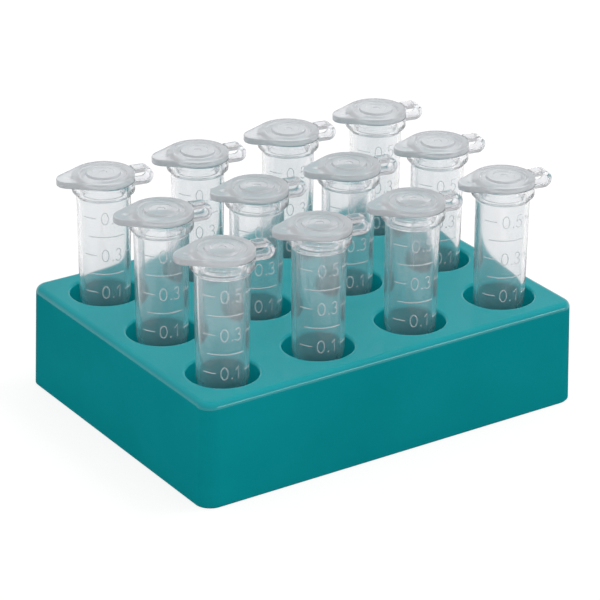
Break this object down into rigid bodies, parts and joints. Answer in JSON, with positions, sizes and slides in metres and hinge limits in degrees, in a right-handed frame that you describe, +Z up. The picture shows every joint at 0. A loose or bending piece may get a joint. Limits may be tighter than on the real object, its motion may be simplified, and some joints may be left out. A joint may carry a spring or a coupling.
{
  "type": "microcentrifuge tube rack set",
  "caption": "Clear snap-cap microcentrifuge tubes with graduations and hinged lids, standing in the round wells of a teal moulded rack.",
  "frame": {"origin": "middle of the rack's underside", "axes": "+X along the rack's long side, with the cap hinges on the +X side of the tubes; +Y to the back row; +Z up"},
  "size_m": [0.0648, 0.0492, 0.0348],
  "materials": {
    "rack_teal": "glossy moulded teal",
    "tube_clear": "clear polypropylene",
    "cap_frosted": "cloudy polypropylene"
  },
  "bodies": {
    "rack": {"rack": "rack_teal"},
    "tube_a1": {"tube_a1_body": "tube_clear", "tube_a1_strap_lower": "tube_clear"},
    "cap_a1": {"tube_a1_cap": "cap_frosted", "tube_a1_strap_upper": "cap_frosted"},
    "tube_a2": {"tube_a2_body": "tube_clear", "tube_a2_strap_lower": "tube_clear"},
    "cap_a2": {"tube_a2_cap": "cap_frosted", "tube_a2_strap_upper": "cap_frosted"},
    "tube_a3": {"tube_a3_body": "tube_clear", "tube_a3_strap_lower": "tube_clear"},
    "cap_a3": {"tube_a3_cap": "cap_frosted", "tube_a3_strap_upper": "cap_frosted"},
    "tube_a4": {"tube_a4_body": "tube_clear", "tube_a4_strap_lower": "tube_clear"},
    "cap_a4": {"tube_a4_cap": "cap_frosted", "tube_a4_strap_upper": "cap_frosted"},
    "tube_b1": {"tube_b1_body": "tube_clear", "tube_b1_strap_lower": "tube_clear"},
    "cap_b1": {"tube_b1_cap": "cap_frosted", "tube_b1_strap_upper": "cap_frosted"},
    "tube_b2": {"tube_b2_body": "tube_clear", "tube_b2_strap_lower": "tube_clear"},
    "cap_b2": {"tube_b2_cap": "cap_frosted", "tube_b2_strap_upper": "cap_frosted"},
    "tube_b3": {"tube_b3_body": "tube_clear", "tube_b3_strap_lower": "tube_clear"},
    "cap_b3": {"tube_b3_cap": "cap_frosted", "tube_b3_strap_upper": "cap_frosted"},
    "tube_b4": {"tube_b4_body": "tube_clear", "tube_b4_strap_lower": "tube_clear"},
    "cap_b4": {"tube_b4_cap": "cap_frosted", "tube_b4_strap_upper": "cap_frosted"},
    "tube_c1": {"tube_c1_body": "tube_clear", "tube_c1_strap_lower": "tube_clear"},
    "cap_c1": {"tube_c1_cap": "cap_frosted", "tube_c1_strap_upper": "cap_frosted"},
    "tube_c2": {"tube_c2_body": "tube_clear", "tube_c2_strap_lower": "tube_clear"},
    "cap_c2": {"tube_c2_cap": "cap_frosted", "tube_c2_strap_upper": "cap_frosted"},
    "tube_c3": {"tube_c3_body": "tube_clear", "tube_c3_strap_lower": "tube_clear"},
    "cap_c3": {"tube_c3_cap": "cap_frosted", "tube_c3_strap_upper": "cap_frosted"},
    "tube_c4": {"tube_c4_body": "tube_clear", "tube_c4_strap_lower": "tube_clear"},
    "cap_c4": {"tube_c4_cap": "cap_frosted", "tube_c4_strap_upper": "cap_frosted"}
  },
  "joints": [
    {"name": "tube_a1_lift", "type": "slide", "parent": "rack", "child": "tube_a1", "axis": [0, 0, 1], "range_m": [0, 0.012]},
    {"name": "cap_a1_hinge", "type": "hinge", "parent": "tube_a1", "child": "cap_a1", "pos_m": [-0.01671, -0.01728, 0.03347], "axis": [0.1736, 0.9848, 0], "range_deg": [0, 120]},
    {"name": "tube_a2_lift", "type": "slide", "parent": "rack", "child": "tube_a2", "axis": [0, 0, 1], "range_m": [0, 0.012]},
    {"name": "cap_a2_hinge", "type": "hinge", "parent": "tube_a2", "child": "cap_a2", "pos_m": [-0.00071, -0.01728, 0.03347], "axis": [0.1736, 0.9848, 0], "range_deg": [0, 120]},
    {"name": "tube_a3_lift", "type": "slide", "parent": "rack", "child": "tube_a3", "axis": [0, 0, 1], "range_m": [0, 0.012]},
    {"name": "cap_a3_hinge", "type": "hinge", "parent": "tube_a3", "child": "cap_a3", "pos_m": [0.01529, -0.01728, 0.03347], "axis": [0.1736, 0.9848, 0], "range_deg": [0, 120]},
    {"name": "tube_a4_lift", "type": "slide", "parent": "rack", "child": "tube_a4", "axis": [0, 0, 1], "range_m": [0, 0.012]},
    {"name": "cap_a4_hinge", "type": "hinge", "parent": "tube_a4", "child": "cap_a4", "pos_m": [0.03129, -0.01728, 0.03347], "axis": [0.1736, 0.9848, 0], "range_deg": [0, 120]},
    {"name": "tube_b1_lift", "type": "slide", "parent": "rack", "child": "tube_b1", "axis": [0, 0, 1], "range_m": [0, 0.012]},
    {"name": "cap_b1_hinge", "type": "hinge", "parent": "tube_b1", "child": "cap_b1", "pos_m": [-0.01671, -0.00128, 0.03347], "axis": [0.1736, 0.9848, 0], "range_deg": [0, 120]},
    {"name": "tube_b2_lift", "type": "slide", "parent": "rack", "child": "tube_b2", "axis": [0, 0, 1], "range_m": [0, 0.012]},
    {"name": "cap_b2_hinge", "type": "hinge", "parent": "tube_b2", "child": "cap_b2", "pos_m": [-0.00071, -0.00128, 0.03347], "axis": [0.1736, 0.9848, 0], "range_deg": [0, 120]},
    {"name": "tube_b3_lift", "type": "slide", "parent": "rack", "child": "tube_b3", "axis": [0, 0, 1], "range_m": [0, 0.012]},
    {"name": "cap_b3_hinge", "type": "hinge", "parent": "tube_b3", "child": "cap_b3", "pos_m": [0.01529, -0.00128, 0.03347], "axis": [0.1736, 0.9848, 0], "range_deg": [0, 120]},
    {"name": "tube_b4_lift", "type": "slide", "parent": "rack", "child": "tube_b4", "axis": [0, 0, 1], "range_m": [0, 0.012]},
    {"name": "cap_b4_hinge", "type": "hinge", "parent": "tube_b4", "child": "cap_b4", "pos_m": [0.03129, -0.00128, 0.03347], "axis": [0.1736, 0.9848, 0], "range_deg": [0, 120]},
    {"name": "tube_c1_lift", "type": "slide", "parent": "rack", "child": "tube_c1", "axis": [0, 0, 1], "range_m": [0, 0.012]},
    {"name": "cap_c1_hinge", "type": "hinge", "parent": "tube_c1", "child": "cap_c1", "pos_m": [-0.01671, 0.01472, 0.03347], "axis": [0.1736, 0.9848, 0], "range_deg": [0, 120]},
    {"name": "tube_c2_lift", "type": "slide", "parent": "rack", "child": "tube_c2", "axis": [0, 0, 1], "range_m": [0, 0.012]},
    {"name": "cap_c2_hinge", "type": "hinge", "parent": "tube_c2", "child": "cap_c2", "pos_m": [-0.00071, 0.01472, 0.03347], "axis": [0.1736, 0.9848, 0], "range_deg": [0, 120]},
    {"name": "tube_c3_lift", "type": "slide", "parent": "rack", "child": "tube_c3", "axis": [0, 0, 1], "range_m": [0, 0.012]},
    {"name": "cap_c3_hinge", "type": "hinge", "parent": "tube_c3", "child": "cap_c3", "pos_m": [0.01529, 0.01472, 0.03347], "axis": [0.1736, 0.9848, 0], "range_deg": [0, 120]},
    {"name": "tube_c4_lift", "type": "slide", "parent": "rack", "child": "tube_c4", "axis": [0, 0, 1], "range_m": [0, 0.012]},
    {"name": "cap_c4_hinge", "type": "hinge", "parent": "tube_c4", "child": "cap_c4", "pos_m": [0.03129, 0.01472, 0.03347], "axis": [0.1736, 0.9848, 0], "range_deg": [0, 120]}
  ]
}
